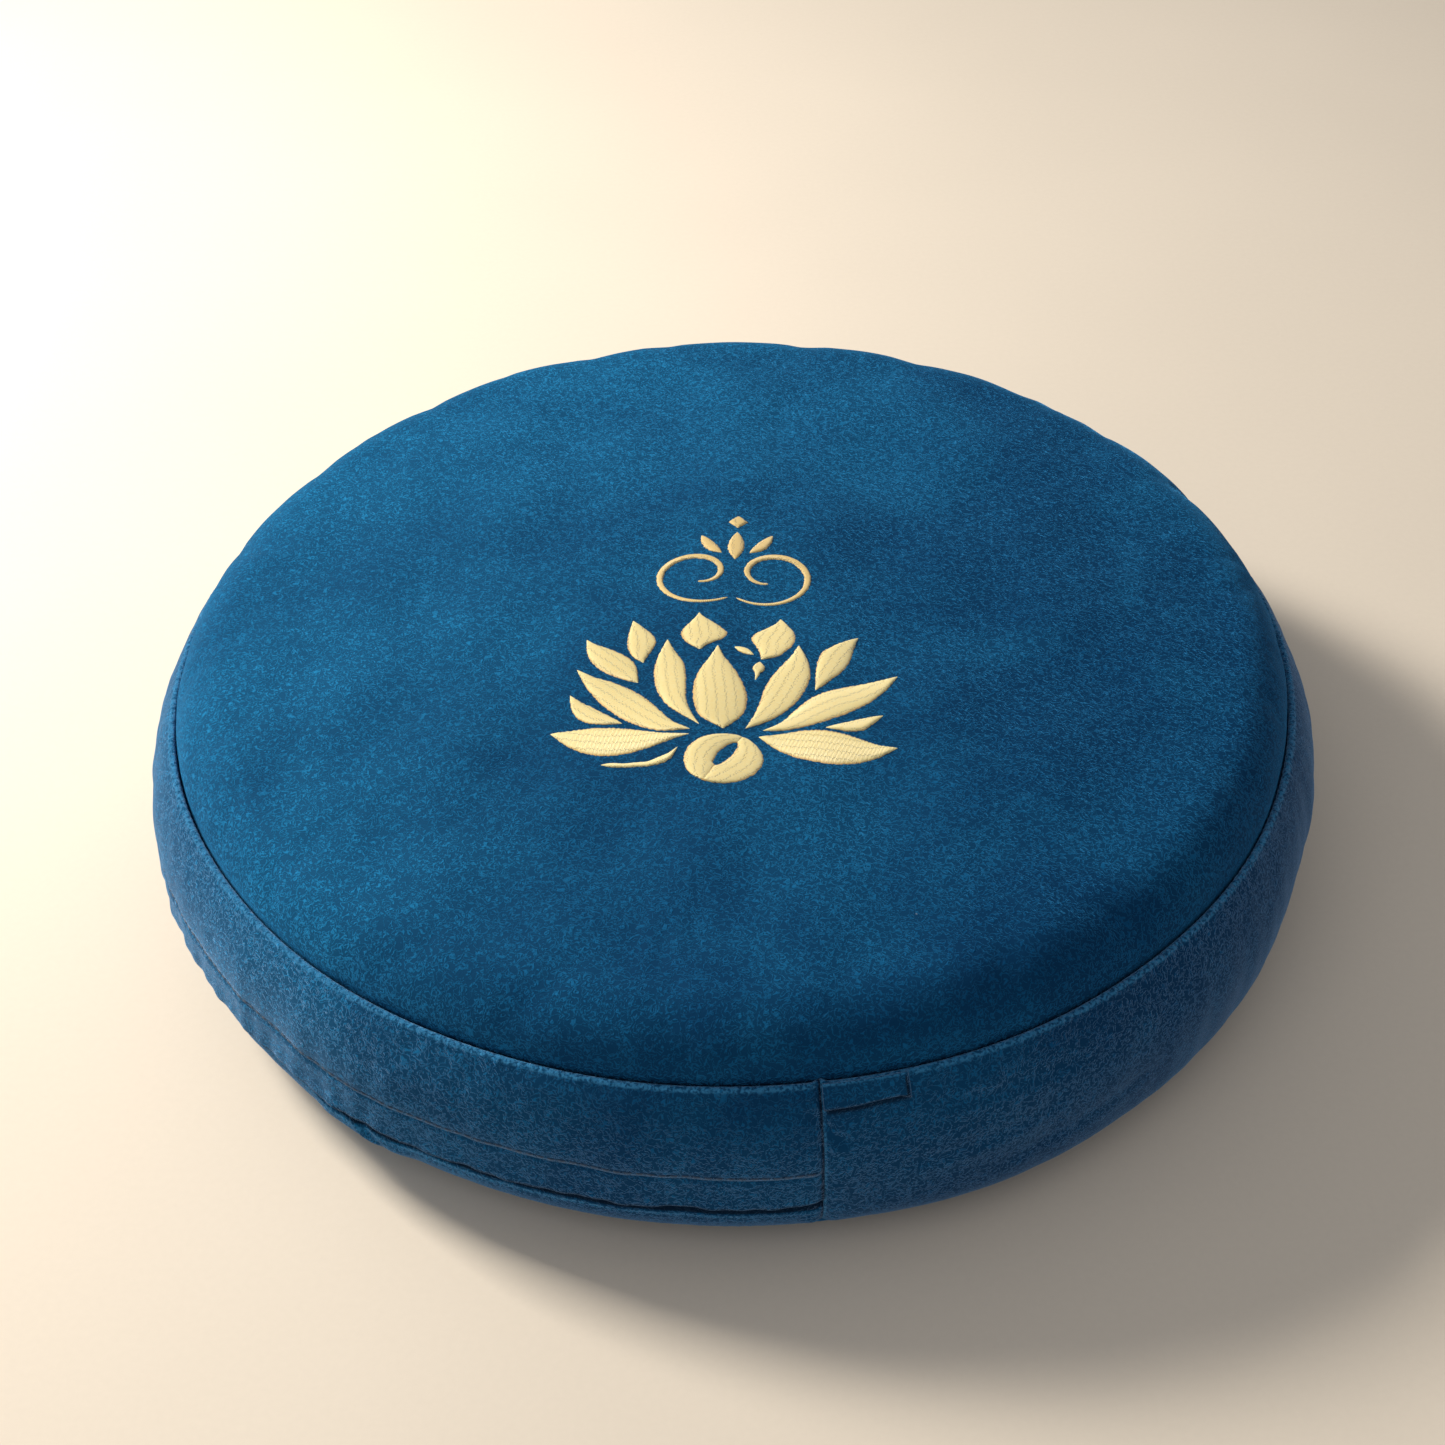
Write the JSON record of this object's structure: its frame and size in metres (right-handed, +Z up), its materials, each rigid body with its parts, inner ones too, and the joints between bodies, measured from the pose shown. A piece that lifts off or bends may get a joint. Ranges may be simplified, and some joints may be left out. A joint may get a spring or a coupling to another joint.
{
  "type": "floor cushion",
  "caption": "Low round boxed floor cushion in velvet with an embroidered top, a lapped zip round its side and a sewn inner case of hulls.",
  "frame": {"origin": "on the floor under the centre of the cushion", "axes": "+Z up; -Y is the front, where the joint seam of the band is just to the right; +X to the viewer's right"},
  "size_m": [0.399, 0.399, 0.0972],
  "materials": {
    "velvet": "short-pile polyester velvet, soft sheen",
    "zip_tape": "woven polyester tape",
    "zip_coil": "nylon coil",
    "zip_metal": "nickel-plated zinc, lightly worn",
    "blue_thread": "twisted polyester sewing thread",
    "gold_thread": "satin-stitched rayon thread",
    "backing": "non-woven sheet",
    "cotton": "plain-woven unbleached cotton",
    "cotton_thread": "cotton sewing thread",
    "hulls": "dry buckwheat hulls"
  },
  "bodies": {
    "cushion": {"top_panel": "velvet", "bottom_panel": "velvet", "plain_band": "velvet", "zip_band_upper": "velvet", "zip_band_lower": "velvet", "zip_flap": "velvet", "zip_tape_upper": "zip_tape", "zip_tape_lower": "zip_tape", "zip_coil_upper": "zip_coil", "zip_coil_lower": "zip_coil", "zip_bar_tacks": "blue_thread", "top_seam_thread": "blue_thread", "bottom_seam_thread": "blue_thread", "front_joint_thread": "blue_thread", "rear_joint_thread": "blue_thread", "flap_topstitch": "blue_thread", "lower_zip_stitch": "blue_thread", "embroidery_backing": "backing", "lotus_centre_petal": "gold_thread", "lotus_inner_petals": "gold_thread", "lotus_long_petals": "gold_thread", "lotus_lower_petals": "gold_thread", "lotus_side_slips": "gold_thread", "lotus_back_petals": "gold_thread", "lotus_base_bud": "gold_thread", "lotus_under_petal": "gold_thread", "ornament_scrolls": "gold_thread", "ornament_leaves": "gold_thread", "ornament_lozenge": "gold_thread", "inner_case_top": "cotton", "inner_case_bottom": "cotton", "inner_case_band": "cotton", "inner_top_thread": "cotton_thread", "inner_bottom_thread": "cotton_thread", "inner_closing_stitch": "cotton_thread", "hull_fill": "hulls"},
    "slider": {"zip_slider": "zip_metal"},
    "pull": {"zip_pull": "zip_metal"}
  },
  "joints": [
    {"name": "zip_travel", "type": "hinge", "parent": "cushion", "child": "slider", "pos_m": [0, 0, 0.034], "axis": [0, 0, 1], "range_deg": [0, 110]},
    {"name": "pull_flip", "type": "hinge", "parent": "slider", "child": "pull", "pos_m": [-0.1808, 0.07251, 0.034], "axis": [0, 0, 1], "range_deg": [0, 175], "deforming": ["zip_flap"]}
  ]
}
